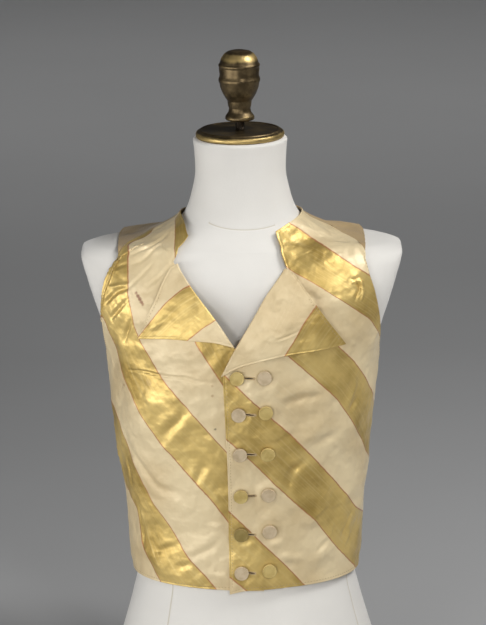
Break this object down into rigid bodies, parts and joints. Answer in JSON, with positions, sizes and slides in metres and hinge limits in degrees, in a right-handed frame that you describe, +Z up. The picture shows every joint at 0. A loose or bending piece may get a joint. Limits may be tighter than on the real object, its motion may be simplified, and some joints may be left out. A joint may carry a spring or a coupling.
{
  "type": "waistcoat on a limbless dress form",
  "caption": "Double-breasted waistcoat of diagonally striped gold and cream satin with pointed lapels, worn on a limbless dress form with a turned brass finial",
  "frame": {"origin": "centre of the flat base that the dress form stands on", "axes": "+Z up the neck; the garment's front faces -Y; the wearer's left is +X"},
  "size_m": [0.3696, 0.2477, 0.7638],
  "materials": {
    "striped_satin": "silk satin in broad diagonal gold and cream stripes with fine rust edge lines",
    "gold_satin": "gold silk satin",
    "cream_satin": "cream silk satin",
    "tan_cotton": "plain tan cotton, matt",
    "white_jersey": "fine white knitted cover, matt",
    "aged_brass": "dark aged brass, worn bright on its edges",
    "dark_steel": "dark threaded steel"
  },
  "bodies": {
    "root": {"form_body": "white_jersey", "neck_cap": "aged_brass", "cap_stud": "dark_steel", "finial": "aged_brass", "front_left": "striped_satin", "front_right": "striped_satin", "lapel_left": "striped_satin", "lapel_right": "striped_satin", "back": "tan_cotton", "fastening_button_1": "gold_satin", "fastening_button_2": "cream_satin", "fastening_button_3": "cream_satin", "fastening_button_4": "gold_satin", "fastening_button_5": "gold_satin", "fastening_button_6": "cream_satin", "show_button_1": "cream_satin", "show_button_2": "gold_satin", "show_button_3": "gold_satin", "show_button_4": "cream_satin", "show_button_5": "cream_satin", "show_button_6": "gold_satin"}
  },
  "joints": []
}
